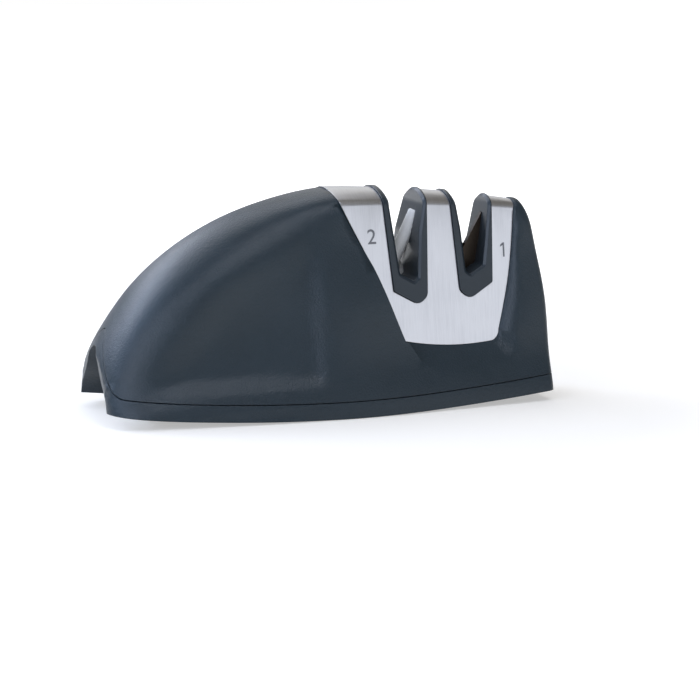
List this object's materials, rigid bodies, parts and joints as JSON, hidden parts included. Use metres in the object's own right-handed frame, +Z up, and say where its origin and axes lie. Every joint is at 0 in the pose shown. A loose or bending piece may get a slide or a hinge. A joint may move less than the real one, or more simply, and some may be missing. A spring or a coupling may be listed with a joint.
{
  "type": "manual knife sharpener",
  "caption": "Hump-shaped pull-through knife sharpener with a fine and a coarse slot under a bent steel cover, standing on hidden rubber feet.",
  "frame": {"origin": "centre of the body's box on the table plane, under the middle of the body", "axes": "+Z up from the table, +X from the tail of the hump towards the coarse slot, +Y to the left when looking along +X; the near side in the picture is -Y"},
  "size_m": [0.1611, 0.0718, 0.0765],
  "materials": {
    "body_plastic": "fine moulded texture, dark slate blue-grey",
    "insert_plastic": "smooth satin, dark slate blue-grey",
    "cover_steel": "satin brushed stainless steel",
    "ceramic": "fine white ceramic, slightly rough",
    "abrasive": "dark carbide plate with a ground edge",
    "rubber": "matt rubber",
    "screw_steel": "zinc-plated steel",
    "inner_plastic": "plain moulded, unseen inside",
    "tape": "pale double-sided tape"
  },
  "bodies": {
    "root": {"upper_housing": "body_plastic", "base_frame": "body_plastic", "steel_cover": "cover_steel", "cover_tape_right": "tape", "cover_tape_left": "tape", "fine_guide": "insert_plastic", "coarse_guide": "insert_plastic", "fine_rod_front": "ceramic", "fine_rod_rear": "ceramic", "coarse_plate_front": "abrasive", "coarse_plate_rear": "abrasive", "fine_retainer": "inner_plastic", "coarse_retainer": "inner_plastic", "guide_carrier": "inner_plastic", "rubber_foot_rear_right": "rubber", "rubber_foot_rear_left": "rubber", "rubber_foot_front_right": "rubber", "rubber_foot_front_left": "rubber", "housing_screws": "screw_steel", "carrier_screws": "screw_steel", "retainer_screws": "screw_steel"}
  },
  "joints": []
}
